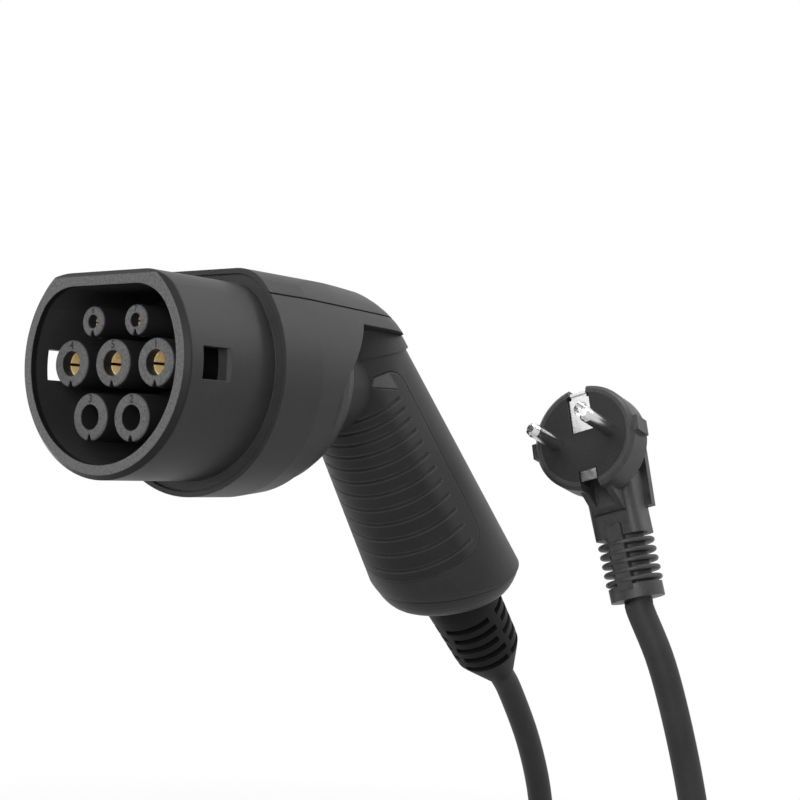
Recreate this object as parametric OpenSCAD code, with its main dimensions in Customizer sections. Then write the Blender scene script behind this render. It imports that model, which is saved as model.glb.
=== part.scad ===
// Portable EV charger: a vehicle connector and an angled mains plug,
// joined by a cable through a control box. Millimetres.
// X runs back from the connector's nose, Z is up, the origin is the middle of the nose's rim.

/* [Nose] */
// Step in from the body's radius to the nose's
nose_step = 4.5; // [3.5:0.1:6]
// Step down from the body's flat top to the nose's
top_step = 4; // [3:0.1:6]
// Thickness of the nose's wall
nose_wall = 4; // [3:0.1:5]
// Length of the nose in front of the body
nose_len = 34; // [30:0.5:40]
// Chamfer on the nose's rim
rim_chamfer = 1.4; // [0.6:0.1:2]
// Distance of the lock windows from the rim
lock_x = 6; // [3:0.5:8]
// Length of a lock window along the nose
lock_len = 11; // [8:0.5:14]
// Height of a lock window
lock_h = 8.6; // [6:0.2:10]

/* [Contacts] */
// Distance between neighbouring power contacts in the middle row
pitch = 16; // [15:0.1:17]
// Outer diameter of a power contact's sleeve
power_sleeve = 13.2; // [12:0.1:14]
// Opening of a power contact's sleeve
power_open = 7; // [6.4:0.1:7.6]
// Outer diameter of a signal contact's sleeve
signal_sleeve = 8.6; // [8:0.1:9.4]
// Opening of a signal contact's sleeve
signal_open = 3.8; // [3.4:0.1:4.4]
// Set-back of the sleeves behind the rim
sleeve_back = 4.2; // [3:0.1:6]

/* [Body] */
// Radius of the body
body_r = 36; // [35:0.1:39]
// Height of the body's flat top above the nose axis
body_top = 28.5; // [27.5:0.1:30]
// Wall of the body and the handle
wall = 2.8; // [2.4:0.1:3.4]
// X of the body's rear rim below the hood
rim_x = 60; // [56:0.5:66]
// X of the hood's rear end
hood_end = 121; // [112:0.5:130]
// Height of the hood's lower edge
hood_z = 16.5; // [14:0.5:18]
// Height of the parting line of the top cover
split_z = 21; // [20:0.2:23]

/* [Handle] */
// Slope of the handle below the horizontal
handle_tilt = 49.5; // [44:0.5:56]
// Radius of the handle at its lower end
handle_r = 25.8; // [24:0.1:28]
// Loss of radius per millimetre up the handle
handle_taper = 0.073; // [0.05:0.001:0.08]
// Length of the grip pad
grip_len = 75; // [60:1:78]
// Number of grooves in the grip pad
grip_grooves = 12; // [6:1:13]
// Thickness of the grip pad
grip_t = 1.7; // [1.5:0.1:2]
// Thickness of the end cap
cap_t = 8; // [6:0.5:11]
// Length of the cable boot below the handle
boot_len = 51; // [46:0.5:60]

/* [Mains plug] */
// Radius of the plug's face
plug_r = 18; // [17.6:0.1:19.5]
// Diameter of a plug pin
pin_d = 4.8; // [4.6:0.1:5]
// Length of a plug pin in front of the face
pin_len = 19; // [18:0.5:20]
// Distance between the plug pins
pin_gap = 19; // [18:0.5:20]

/* [Cable and control box] */
// Diameter of the cable
cable_d = 9.4; // [8:0.1:10]
// Radius of the coil at the middle of its turns
coil_r = 52; // [48:1:60]
// Length of the control box
box_l = 140; // [120:2:160]
// Width of the control box
box_w = 70; // [60:2:80]
// Height of the control box
box_h = 44; // [40:1:50]

/* [Hidden] */
$fn = 64;
// Nose: its radius and flat top, inner opening, flange in the body and the seat of the carrier
nose_r = body_r - nose_step;
nose_top = body_top - top_step;
nose_in = nose_r - nose_wall;
nose_in_top = nose_top - nose_wall + 0.1;
corner_r = 14;
lip = 1.5;
flange_x = nose_len + 0.6;
flange_end = nose_len + 10;
flange_r = body_r - lip;
flange_top = body_top - lip;
gasket_t = 1.2;
seat_x = flange_end + gasket_t;
floor_x = nose_len + 2;
carrier_end = flange_end + 3;
plate_t = 2.5;
sleeve_seat = 2;
screw_r = nose_in + 2.1;
// Contact places as [Y, Z]
power_at = [[-pitch, 0], [0, 0], [pitch, 0]];
spare_at = [[-pitch * 0.49, -pitch * 0.913], [pitch * 0.49, -pitch * 0.913]];
signal_at = [[-pitch * 0.506, pitch * 0.712], [pitch * 0.506, pitch * 0.712]];
socket_d = 8.4;
pilot_d = 5.2;
// Body outline: straight, then a slight cone, then a round end
taper_x = nose_len + 16;
round_x = hood_end - 26;
round_r = body_r - 5;
end_r = body_r - 19;
slope = atan2(body_r - round_r, round_x - taper_x);
arc_dx = hood_end - round_x;
arc_dr = end_r - round_r;
arc_r = (arc_dx * arc_dx + arc_dr * arc_dr) / (2 * (-arc_dx * sin(slope) - arc_dr * cos(slope)));
arc_c = [round_r - arc_r * cos(slope), round_x - arc_r * sin(slope)];
arc_a0 = slope;
arc_a1 = atan2(hood_end - arc_c[1], end_r - arc_c[0]);
// Handle: its lower end, the length of its cone, its domed root with the screw bosses
handle_at = [170.7, 0, -66];
handle_len = (hood_z - handle_at[2]) / sin(handle_tilt) + body_r * 0.46;
dome_r = 22;
root_r = body_r - 2.5;
boss_at = body_r - 10;
// End cap: height and slant of its seam, its radius inside the handle's rounded end, the turn of its edge
cap_up = 2;
cap_slant = 22;
seam_r = handle_r - cap_up * handle_taper;
cone_lean = handle_taper * tan(cap_slant);
cap_back = seam_r / (1 - cone_lean);
cap_front = seam_r / (1 + cone_lean);
cap_mid = (cap_back - cap_front) / 2;
cap_half = (cap_back + cap_front) / 2 / cos(cap_slant);
end_round = 2.3;
end_deep = 11;
cap_r = cap_half - end_round;
cap_turn = 12;
cap_from = 40;
grip_low = 22;
groove_n = grip_grooves - 1;
groove_step = (grip_len - 15.7 + 0.14 * groove_n * groove_n) / groove_n;
boot_r = 13.6;
boot_gap = 0.2;
boot_x = 2.2;
boot_lean = 3.5;
boot_seat = cap_up + 9.5;
clamp_z = boot_seat + 3;
// Plug: its place and turn, and the lean of its cable neck
plug_at = [159.8, -58.7, -13.9];
plug_turn = [-17, 14, 1];
root_d = pin_d - 0.8;
face_r = 15.5;
face_t = 8;
earth_z = 10.4;
earth_d = 6.4;
neck_lean = 10;
neck_x = 17.8;
neck_box = 30;
neck_end = 51;
rib_step = 3.1;
rib_r = 9.5;
notch_w = 6.4;
clip_w = 5.6;
clip_t = 0.9;
clip_top = 15.2;
clip_low = 11.4;
// Floor under the coil and the box
floor_z = -255;
coil_at = [110, 80, floor_z];
coil_w = 3 * cable_d;
coil_h = 4 * cable_d;
lead = 40;
lead_y = coil_at[1] - coil_r - coil_w / 2 + cable_d / 2;
lead_low = floor_z + cable_d / 2;
lead_high = floor_z + coil_h - cable_d / 2;
box_at = [66, -75, floor_z];
split_h = box_h * 0.55;
gland_z = 14;
gland_l = 16;
gland_end = box_at + [-box_l / 2 - gland_l, 0, gland_z];

function turned(a, v) = let (
    x = [v[0], v[1] * cos(a[0]) - v[2] * sin(a[0]), v[1] * sin(a[0]) + v[2] * cos(a[0])],
    y = [x[0] * cos(a[1]) + x[2] * sin(a[1]), x[1], x[2] * cos(a[1]) - x[0] * sin(a[1])])
    [y[0] * cos(a[2]) - y[1] * sin(a[2]), y[0] * sin(a[2]) + y[1] * cos(a[2]), y[2]];
function on_handle(s) = handle_at + s * [-cos(handle_tilt), 0, sin(handle_tilt)];
function on_boot(s) = on_handle(s * cos(boot_lean))
    + (boot_x - s * sin(boot_lean)) * [sin(handle_tilt), 0, cos(handle_tilt)];
function on_neck(s) = plug_at + turned(plug_turn, [neck_x + s * sin(neck_lean), 0, -s * cos(neck_lean)]);

// Cable routes: from the clamp through the boot, from the coil, and from the plug's neck
cable_route = concat([for (s = [28, 0, -26, -boot_len, -boot_len - 12]) on_boot(s)], [[231, 0, -131],
    [243, 1, -155], [249, 3, -181], [247, 6, -206], [238, 10, -228], [220, 14, -244], [196, 17.5, -250]],
    [for (x = [lead + 16, lead + 8, lead]) [coil_at[0] + x, lead_y, lead_low]]);
tail_route = concat([for (x = [lead, lead + 8, lead + 16]) [coil_at[0] - x, lead_y, lead_high]],
    [[38, 18.6, -223.5], [14, 18.6, -228.5], [-6, 18.6, -234], [-26, 18.6, -240], [-49.4, 12.3, -246],
    [-66.5, -4.8, -249.5], [-72.8, -28.2, -250.3], [-66.5, -51.6, -249.3], [-49.4, -68.7, -245.3]],
    [for (x = [6, 0, -18]) [gland_end[0] - x, box_at[1], gland_end[2]]]);
plug_route = concat([for (s = [40, neck_end, neck_end + 4]) on_neck(s)], [[176.6, -80, -85],
    [179.9, -83.7, -100.5], [184.5, -87, -121], [189.5, -89.5, -144], [199, -89.5, -169], [205, -87.5, -196],
    [202.3, -84.5, -211.4], [191.8, -79.5, -227.8], [175.4, -75.8, -238.3]],
    [for (x = [8, 0, -18]) [2 * box_at[0] - gland_end[0] + x, box_at[1], gland_end[2]]]);

function unit(v) = v / norm(v);
function spline(a, b, c, d, t) = 0.5 * (2 * b + (c - a) * t + (2 * a - 5 * b + 4 * c - d) * t * t
    + (3 * b - a - 3 * c + d) * t * t * t);
function at(route, i) = route[max(0, min(len(route) - 1, i))];
function smooth_route(route, steps) = [for (i = [0 : len(route) - 2], k = [0 : steps - 1])
    spline(at(route, i - 1), at(route, i), at(route, i + 1), at(route, i + 2), k / steps),
    route[len(route) - 1]];
function heading(p, i) = unit(p[min(i + 1, len(p) - 1)] - p[max(i - 1, 0)]);
function arc_point(off, t) = [arc_c[0] + (arc_r - off) * cos(t), arc_c[1] + (arc_r - off) * sin(t)];

// Sweeps a round tube along a route
module tube(route, d, aim, steps = 2, sides = 12) {
    p = smooth_route(route, steps);
    n = len(p);
    pts = [for (i = [0 : n - 1]) let (t = heading(p, i), u = unit(cross(t, aim)), v = cross(t, u))
        for (k = [0 : sides - 1]) p[i] + d / 2 * (u * cos(360 * k / sides) + v * sin(360 * k / sides))];
    walls = [for (i = [0 : n - 2], k = [0 : sides - 1]) let (j = (k + 1) % sides)
        [i * sides + k, i * sides + j, (i + 1) * sides + j, (i + 1) * sides + k]];
    polyhedron(pts, concat([[for (k = [sides - 1 : -1 : 0]) k]], walls,
        [[for (k = [0 : sides - 1]) (n - 1) * sides + k]]), convexity = 4);
}

// Turns an outline drawn as (Y, Z) so that it is extruded along X
module along_x(x0) {
    translate([x0, 0, 0]) rotate([90, 0, 90]) children();
}

// Extrudes an outline drawn as (X, Z) across the object
module across(w) {
    rotate([90, 0, 0]) linear_extrude(w, center = true) children();
}

// The handle's frame: Z up the handle from its lower end, X to its back
module in_handle() {
    translate(handle_at) rotate([0, handle_tilt - 90, 0]) children();
}

// The cable's way through the clamp and the boot
module in_boot() {
    in_handle() translate([boot_x, 0, 0]) rotate([0, -boot_lean, 0]) children();
}

module in_plug() {
    translate(plug_at) rotate(plug_turn) children();
}

// The plug's cable neck: Z up along the neck, origin where it meets the plug's axis
module in_neck() {
    in_plug() translate([neck_x, 0, 0]) rotate([0, -neck_lean, 0]) children();
}

// Everything under a flat top with rounded corners, as a (Y, Z) outline; the corners cross the round of radius r
module flat_top(r, top, rc) {
    cx = sqrt(pow(r - rc, 2) - pow(top - rc, 2)) + 0.1;
    a = atan2(top - rc, cx) - 3;
    far = [cx + rc * cos(a) + 3 * r * sin(a), top - rc + rc * sin(a) - 3 * r * cos(a)];
    half = [for (i = [0 : 9]) let (t = a + (90 - a) * i / 9) [cx + rc * cos(t), top - rc + rc * sin(t)]];
    polygon(concat([[-far[0], far[1]], far], half, [for (i = [9 : -1 : 0]) [-half[i][0], half[i][1]]]));
}

// A round bar along X with the flat top
module d_bar(r, top, x0, x1) {
    intersection() {
        along_x(x0) cylinder(h = x1 - x0, r = r);
        along_x(x0 - 1) linear_extrude(x1 - x0 + 2) flat_top(r, top, corner_r);
    }
}

module nose_shell() {
    color([0.09, 0.09, 0.095])
    difference() {
        union() {
            intersection() {
                along_x(0) rotate_extrude() polygon([[0, 0], [nose_r - rim_chamfer, 0],
                    [nose_r, rim_chamfer], [nose_r, flange_x + 1], [0, flange_x + 1]]);
                along_x(-1) linear_extrude(flange_x + 3) flat_top(nose_r, nose_top, corner_r);
                nose_top_chamfer();
            }
            d_bar(flange_r, flange_top, flange_x, flange_end);
        }
        d_bar(nose_in, nose_in_top, -1, flange_end + 1);
        lock_windows();
        for (a = [45, 135, 225, 315])
            along_x(flange_end - 7) rotate([0, 0, a]) translate([screw_r, 0, 0]) cylinder(h = 8, d = 2.4);
    }
}

// Slopes the front of the flat top like the rim's chamfer
module nose_top_chamfer() {
    across(4 * nose_r) polygon([[0, -2 * nose_r], [0, nose_top - rim_chamfer], [rim_chamfer, nose_top],
        [rim_chamfer, nose_top + 5], [flange_x + 2, nose_top + 5], [flange_x + 2, -2 * nose_r]]);
}

// Windows for the inlet's lock, chamfered at their rear edge
module lock_windows() {
    back = lock_x + lock_len;
    for (s = [-1, 1])
        translate([0, 0, -lock_h / 2]) linear_extrude(lock_h)
            polygon([[lock_x, s * (nose_r - 7)], [lock_x, s * (nose_r + 2)], [back + 2, s * (nose_r + 2)],
                [back - 1, s * (nose_r - 1)], [back - 1, s * (nose_r - 7)]]);
}

module contact_carrier() {
    color([0.13, 0.13, 0.135])
    difference() {
        union() {
            d_bar(nose_in, nose_in_top, floor_x, flange_end);
            d_bar(nose_in + 3.8, nose_in_top + 3.4, flange_end, carrier_end);
        }
        for (p = concat(power_at, spare_at)) sleeve_hole(p, power_sleeve);
        for (p = signal_at) sleeve_hole(p, signal_sleeve);
        for (p = power_at) along_x(floor_x) translate(p) cylinder(h = 40, d = socket_d);
        for (p = signal_at) along_x(floor_x) translate(p) cylinder(h = 40, d = pilot_d);
        for (a = [45, 135, 225, 315])
            along_x(flange_end - 7) rotate([0, 0, a]) translate([screw_r, 0, 0]) cylinder(h = 12, d = 2.4);
    }
}

// Seat of a sleeve in the carrier's front
module sleeve_hole(p, d) {
    along_x(floor_x - 1) translate(p) cylinder(h = sleeve_seat + 1, d = d);
}

// Insulating tubes round the contacts, pressed into the carrier
module contact_sleeves() {
    color([0.14, 0.14, 0.145]) {
        for (p = power_at) difference() {
            sleeve(p, power_sleeve);
            bore(p, power_open, socket_d, 3);
            notch(p, power_sleeve);
        }
        for (p = spare_at) difference() {
            sleeve(p, power_sleeve);
            along_x(sleeve_back - 1) translate(p) cylinder(h = 60, d = power_open);
            notch(p, power_sleeve);
        }
        for (p = signal_at) difference() {
            sleeve(p, signal_sleeve);
            bore(p, signal_open, pilot_d, 3);
            notch(p, signal_sleeve);
        }
    }
}

module sleeve(p, d) {
    along_x(sleeve_back) translate(p) rotate_extrude() polygon([[0, 0], [d / 2 - 0.5, 0], [d / 2, 0.5],
        [d / 2, floor_x - sleeve_back + sleeve_seat], [0, floor_x - sleeve_back + sleeve_seat]]);
}

module bore(p, d, seat_d, deep) {
    along_x(sleeve_back - 1) translate(p) cylinder(h = deep + 2, d = d);
    along_x(sleeve_back + deep) translate(p) cylinder(h = 60, d = seat_d);
}

// Wedge at the bottom of a sleeve's front
module notch(p, d) {
    along_x(sleeve_back - 1) translate([p[0], p[1] - d / 2]) linear_extrude(4)
        polygon([[-1.3, -0.6], [1.3, -0.6], [0.3, 1.9], [-0.3, 1.9]]);
}

// Slotted socket with a crimp barrel behind the carrier
module socket(d, bore_d, slot, tail) {
    difference() {
        union() {
            cylinder(h = carrier_end - sleeve_back - 3, d = d);
            translate([0, 0, carrier_end - sleeve_back - 3]) cylinder(h = tail, d = d - 1);
        }
        translate([0, 0, -1]) cylinder(h = 21, d = bore_d);
        translate([0, 0, carrier_end - sleeve_back + tail - 11]) cylinder(h = 10, d = d - 2.6);
        for (a = [0, 90]) rotate([0, 0, a]) translate([-d, -slot / 2, -1]) cube([2 * d, slot, 15]);
    }
}

module power_contacts() {
    color([0.86, 0.68, 0.32])
    for (p = power_at) along_x(sleeve_back + 3) translate(p) socket(socket_d, 6.1, 0.8, 9);
}

module signal_contacts() {
    color([0.86, 0.68, 0.32])
    for (p = signal_at) along_x(sleeve_back + 3) translate(p) socket(pilot_d, 3.1, 0.5, 8);
}

// Plate that holds the contacts in from behind
module contact_retainer() {
    color([0.16, 0.16, 0.165])
    difference() {
        d_bar(nose_in + 3.8, nose_in_top + 3.4, carrier_end, carrier_end + plate_t);
        for (p = power_at) along_x(carrier_end - 1) translate(p) cylinder(h = 5, d = socket_d - 1);
        for (p = signal_at) along_x(carrier_end - 1) translate(p) cylinder(h = 5, d = pilot_d - 1);
        for (a = [45, 135, 225, 315])
            along_x(carrier_end - 1) rotate([0, 0, a]) translate([screw_r, 0, 0]) cylinder(h = 5, d = 2.4);
    }
}

module retainer_screws() {
    color([0.62, 0.62, 0.6])
    for (a = [45, 135, 225, 315])
        along_x(carrier_end + plate_t) rotate([0, 0, a]) translate([screw_r, 0, 0]) difference() {
            union() {
                translate([0, 0, -12]) cylinder(h = 12, d = 2.4);
                cylinder(h = 1.8, d = 4.2);
            }
            translate([-0.4, -1.6, 1]) cube([0.8, 3.2, 1]);
        }
}

// Flat ring between the nose's flange and the body's step
module nose_gasket() {
    color([0.05, 0.05, 0.05])
    difference() {
        d_bar(flange_r - 0.2, flange_top - 0.2, flange_end, seat_x);
        d_bar(flange_r - 1.2, flange_top - 1.2, flange_end - 1, seat_x + 1);
    }
}

// Outline of the body turned about the nose axis, moved in by off
module body_round(off) {
    along_x(0) rotate_extrude(convexity = 4) polygon(concat([[0, nose_len], [body_r - off, nose_len],
        [body_r - off, taper_x], [round_r - off, round_x]],
        [for (i = [1 : 10]) arc_point(off, arc_a0 + (arc_a1 - arc_a0) * i / 10)],
        [[0, arc_point(off, arc_a1)[1]]]));
}

module body_form(off) {
    intersection() {
        body_round(off);
        along_x(0) linear_extrude(hood_end + 10) flat_top(body_r - off, body_top - off, corner_r - off);
    }
}

// Side outline of the body: rear rim, slanted edge and the hood over the handle
module body_side(off) {
    polygon([[0, -60], [rim_x - off, -60], [rim_x - off, -8], [rim_x + 4 - off, 0 + off * 0.3],
        [rim_x + 18 - off * 0.8, hood_z + off], [hood_end + 20, hood_z + off], [hood_end + 20, 60], [0, 60]]);
}

module body_shell() {
    difference() {
        intersection() {
            body_form(0);
            across(200) body_side(0);
        }
        d_bar(flange_r, flange_top, nose_len - 1, seat_x);
        d_bar(flange_r - 2.5, flange_top - 2.5, seat_x - 1, seat_x + 4);
        intersection() {
            body_form(wall);
            across(200) body_side(2.4);
            translate([seat_x + 3, -100, -100]) cube(200);
        }
        for (a = [210, 270, 330])
            along_x(rim_x - 4) rotate([0, 0, a]) translate([boss_at, 0, 0]) cylinder(h = 8, d = 3);
    }
}

// Way for the cores from the body to the handle
module neck_pass() {
    along_x(rim_x - 6) cylinder(h = 44, r = 9);
    in_handle() cylinder(h = handle_len, r = 11);
}

// Fine groove round the parting line
module split_groove() {
    difference() {
        translate([0, -60, split_z - 0.25]) cube([hood_end + 10, 120, 0.5]);
        body_form(0.5);
    }
}

module main_body() {
    color([0.1, 0.1, 0.105])
    difference() {
        body_shell();
        translate([-10, -100, split_z]) cube(200);
        split_groove();
        neck_pass();
    }
}

module top_cover() {
    color([0.1, 0.1, 0.105])
    difference() {
        body_shell();
        translate([-10, -100, split_z - 200]) cube(200);
        split_groove();
    }
}

// Handle: cone, domed root behind the body's rim and a web between them, moved in by off
module handle_form(off) {
    intersection() {
        in_handle() translate([0, 0, -20]) cylinder(h = handle_len + 20, r1 = handle_r + 20 * handle_taper - off,
            r2 = handle_r - handle_len * handle_taper - off);
        in_cap() handle_end(off);
    }
    along_x(0) rotate_extrude() polygon(concat([[0, rim_x - 1], [root_r - off, rim_x - 1]],
        [for (i = [0 : 9]) [root_r - dome_r + (dome_r - off) * cos(10 * i), rim_x + (dome_r - off) * sin(10 * i)]],
        [[0, rim_x + dome_r - off]]));
    along_x(rim_x + 6) cylinder(h = 46, r1 = 24 - off, r2 = 12 - off);
}

// Rounds the handle in towards the end cap's seam
module handle_end(off) {
    rotate_extrude() polygon(concat([[0, -1], [cap_r - off, -1]],
        [for (i = [0 : 7]) let (t = i / 7) [cap_r - off + (end_round + 1) * t * (2 - t), end_deep * t]],
        [[3 * handle_len, end_deep], [3 * handle_len, 3 * handle_len], [0, 3 * handle_len]]));
}

// Band round the top of the handle, under the hood
module handle_collar() {
    intersection() {
        in_handle() cylinder(h = handle_len, r1 = handle_r + 1, r2 = handle_r - handle_len * handle_taper + 1);
        across(100) polygon([[78, hood_z + 1], [hood_end + 6, hood_z + 1], [hood_end + 6, hood_z - 1.5],
            [78, hood_z - 13]]);
    }
}

// Plane of the end cap's seam, square to Z, at the middle of the handle's slanted end
module in_cap() {
    in_handle() translate([cap_mid, 0, cap_up - cap_mid * tan(cap_slant)]) rotate([0, cap_slant, 0]) children();
}

// Front of the handle that the pad covers: half the cone with round corners, drawn as (X, Z) in its frame
module grip_outline(gap) {
    r = 8 + gap;
    difference() {
        translate([-60, grip_low - gap]) square([60 + gap, grip_len + 2 * gap]);
        translate([gap - r, grip_low - gap]) difference() {
            translate([0, -1]) square([r + 1, r + 1]);
            translate([0, r]) circle(r);
        }
        translate([gap - r, grip_low + grip_len + gap - r]) difference() {
            square([r + 1, r + 1]);
            circle(r);
        }
    }
}

module grip_shell(inset, gap) {
    intersection() {
        in_handle() difference() {
            cylinder(h = handle_len, r1 = handle_r + 0.01, r2 = handle_r + 0.01 - handle_len * handle_taper);
            translate([0, 0, -1]) cylinder(h = handle_len + 2, r1 = handle_r + handle_taper - inset,
                r2 = handle_r - (handle_len + 1) * handle_taper - inset);
        }
        in_handle() rotate([90, 0, 0]) linear_extrude(100, center = true) grip_outline(gap);
    }
}

module handle_shell() {
    color([0.1, 0.1, 0.105])
    difference() {
        union() {
            difference() {
                union() {
                    handle_form(0);
                    handle_collar();
                }
                across(200) body_side(0);
                in_cap() translate([-100, -100, -200]) cube(200);
            }
            for (a = [210, 270, 330])
                along_x(rim_x) rotate([0, 0, a]) translate([boss_at, 0, 0]) cylinder(h = 9, d = 7);
        }
        difference() {
            handle_form(wall);
            for (a = [210, 270, 330])
                along_x(rim_x - 2) rotate([0, 0, a]) translate([boss_at, 0, 0]) cylinder(h = 12, d = 7);
            clamp_floor();
        }
        grip_shell(grip_t, 0);
        inlay_pair(0);
        for (a = [210, 270, 330])
            along_x(rim_x - 2) rotate([0, 0, a]) translate([boss_at, 0, 0]) cylinder(h = 10, d = 3);
        for (s = [-1, 1]) in_boot() translate([-7, s * 9, clamp_z + 6]) rotate([0, 90, 0]) cylinder(h = 13, d = 2.4);
        in_boot() translate([0, 0, 5]) cylinder(h = 30, d = cable_d);
    }
}

// Bridge across the handle's lower end that the cable rests on
module clamp_floor() {
    in_boot() translate([0, -handle_r, clamp_z]) cube([8, 2 * handle_r, 12]);
}

module neck_screws() {
    color([0.62, 0.62, 0.6])
    for (a = [210, 270, 330])
        along_x(rim_x) rotate([0, 0, a]) translate([boss_at, 0, 0]) difference() {
            union() {
                translate([0, 0, -2.4]) cylinder(h = 10, d = 3);
                translate([0, 0, -4.4]) cylinder(h = 2, d = 5.6);
            }
            translate([-0.5, -2, -4.5]) cube([1, 4, 1.1]);
        }
}

module grip_pad() {
    color([0.07, 0.07, 0.072])
    difference() {
        grip_shell(grip_t, -0.25);
        for (i = [0 : grip_grooves - 1]) groove(grip_low + 4.7 + i * groove_step - 0.14 * i * i);
        inlay_pair(0);
    }
}

// Pointed groove round the front of the pad
module groove(z) {
    r = handle_r - z * handle_taper;
    in_handle() intersection() {
        rotate_extrude() polygon([[r - 1.1, z], [r + 2, z - 2.1], [r + 2, z + 2.1]]);
        translate([-60, -50, z - 5]) cube([60 - r * 0.22, 100, 20]);
    }
}

// Four-sided inlay on both sides of the handle's top
module inlay_pair(gap) {
    intersection() {
        in_handle() difference() {
            cylinder(h = handle_len, r1 = handle_r + 0.01, r2 = handle_r + 0.01 - handle_len * handle_taper);
            translate([0, 0, -1]) cylinder(h = handle_len + 2, r1 = handle_r + handle_taper - 1,
                r2 = handle_r - (handle_len + 1) * handle_taper - 1);
        }
        across(100) polygon([[100.4 + gap, -1.2 + gap], [110.4 - gap, -1.2 + gap], [105.6, 4.4 - gap],
            [100.2 + gap, 2.3 - gap]]);
    }
}

module side_inlays() {
    color([0.17, 0.17, 0.175]) inlay_pair(0.2);
}

module end_cap() {
    color([0.1, 0.1, 0.105])
    difference() {
        in_cap() rotate_extrude() polygon(concat([[0, 0]],
            [for (i = [0 : 8]) let (t = cap_from + (90 - cap_from) * i / 8)
                [cap_r + cap_turn * (cos(t) - cos(cap_from)),
                -cap_t * (sin(t) - sin(cap_from)) / (1 - sin(cap_from))]],
            [[0, -cap_t]]));
        in_boot() translate([0, 0, -40]) cylinder(h = 60, r = boot_r + boot_gap);
    }
}

// Saddle that presses the cable on the bridge
module cable_clamp() {
    color([0.16, 0.16, 0.165])
    difference() {
        in_boot() translate([-7, -13, clamp_z + 1]) cube([7, 26, 10]);
        in_boot() translate([0, 0, 5]) cylinder(h = 30, d = cable_d);
        for (s = [-1, 1]) in_boot() translate([-8, s * 9, clamp_z + 6]) rotate([0, 90, 0]) cylinder(h = 13, d = 2.4);
    }
}

module clamp_screws() {
    color([0.62, 0.62, 0.6])
    for (s = [-1, 1]) in_boot() translate([-7, s * 9, clamp_z + 6]) rotate([0, 90, 0]) difference() {
        union() {
            cylinder(h = 12, d = 2.4);
            translate([0, 0, -1.8]) cylinder(h = 1.8, d = 4.6);
        }
        translate([-0.4, -1.8, -1.9]) cube([0.8, 3.6, 1]);
    }
}

// Strain relief: a barrel with rows of slots and a cone down to the cable
module cable_boot() {
    color([0.08, 0.08, 0.085])
    difference() {
        in_boot() rotate_extrude() polygon([[cable_d / 2, boot_seat + 2.5], [boot_r + 3, boot_seat + 2.5],
            [boot_r + 3, boot_seat], [boot_r, boot_seat], [boot_r, -10], [boot_r - 1.3, -boot_len + 14],
            [boot_r - 2.4, -boot_len + 11.5], [cable_d / 2 + 0.9, -boot_len], [cable_d / 2, -boot_len]]);
        for (i = [0 : 4], a = [0, 90]) in_boot() rotate([0, 0, a + 30]) boot_slot(-14 - i * 5.2, i % 2);
    }
}

module boot_slot(z, turn) {
    intersection() {
        rotate_extrude() polygon([[boot_r - 5, z], [boot_r + 3, z], [boot_r + 3, z - 2.6], [boot_r - 5, z - 2.6]]);
        rotate([0, 0, turn * 6]) translate([-40, -8, z - 4]) cube([80, 16, 8]);
    }
}

module plug_body() {
    color([0.07, 0.07, 0.075])
    difference() {
        union() {
            in_plug() along_x(0) rotate_extrude() polygon([[0, 0], [plug_r - 1.2, 0], [plug_r, 1.2], [plug_r, 11],
                [plug_r - 1.2, 12.4], [plug_r - 4, 15.5], [plug_r - 7.5, 18.5], [0, 20.5]]);
            for (s = [-1, 1]) in_plug() translate([1, s * plug_r - 1.3, -2.4]) cube([8, 2.6, 5.2]);
            in_plug() translate([24.4, -10.8, -20]) cube([3, 21.6, 22.5]);
            in_plug() plug_chin();
            in_neck() translate([0, 0, -neck_box]) linear_extrude(neck_box - 9) rounded(14, 17.5, 3.5);
            in_neck() for (i = [0 : 4]) translate([0, 0, -neck_box - 2.3 - i * rib_step]) rib_ring();
            in_neck() translate([-rib_r + 0.4, -2.6, -neck_end + 3]) cube([2 * rib_r - 0.8, 5.2, 22]);
            in_neck() translate([0, 0, -neck_end]) cylinder(h = 24, r = cable_d / 2 + 1.6);
            in_neck() translate([0, 0, -neck_end]) cylinder(h = 4.6, r = rib_r - 0.5);
        }
        in_plug() along_x(-1) cylinder(h = face_t + 1, r = face_r);
        in_plug() clip_notches();
        in_neck() translate([0, 0, -neck_end - 9]) cylinder(h = 26, d = cable_d);
    }
}

// Wedge from the face's lower edge back to the neck and the finger plate
module plug_chin() {
    rotate([90, 0, 0]) linear_extrude(11, center = true)
        polygon([[3, -10], [3, -plug_r + 1.8], [13, -23], [25, -23], [25, -1], [15, 6]]);
}

// Notches for the earth strips at the top and the bottom of the face
module clip_notches() {
    translate([-1, -notch_w / 2, clip_top]) cube([14, notch_w, 10]);
    translate([-1, -notch_w / 2, -clip_low - 12]) cube([12, notch_w, 12]);
}

// One ring of the neck's strain relief
module rib_ring() {
    rotate_extrude() polygon([[0, 0.7], [rib_r - 0.4, 0.7], [rib_r, 0.3], [rib_r, -0.4],
        [rib_r - 0.4, -0.8], [0, -0.8]]);
}

module plug_face() {
    color([0.08, 0.08, 0.085])
    in_plug() difference() {
        along_x(0) cylinder(h = face_t, r = face_r);
        for (s = [-1, 1]) along_x(-1) translate([s * pin_gap / 2, 0]) cylinder(h = face_t + 2, d = root_d);
        along_x(-1) translate([0, earth_z]) cylinder(h = face_t + 2, d = earth_d);
        clip_notches();
        translate([-1, -4, 2]) cube([3, 8, 16]);
    }
}

module plug_pins() {
    color([0.85, 0.85, 0.86])
    in_plug() for (s = [-1, 1]) along_x(0) translate([s * pin_gap / 2, 0]) rotate_extrude()
        polygon([[0, -pin_len], [pin_d * 0.25, -pin_len], [pin_d * 0.42, -pin_len + 0.8],
        [pin_d / 2, -pin_len + 2.2], [pin_d / 2, 0], [root_d / 2, 0], [root_d / 2, face_t], [0, face_t]]);
}

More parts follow.
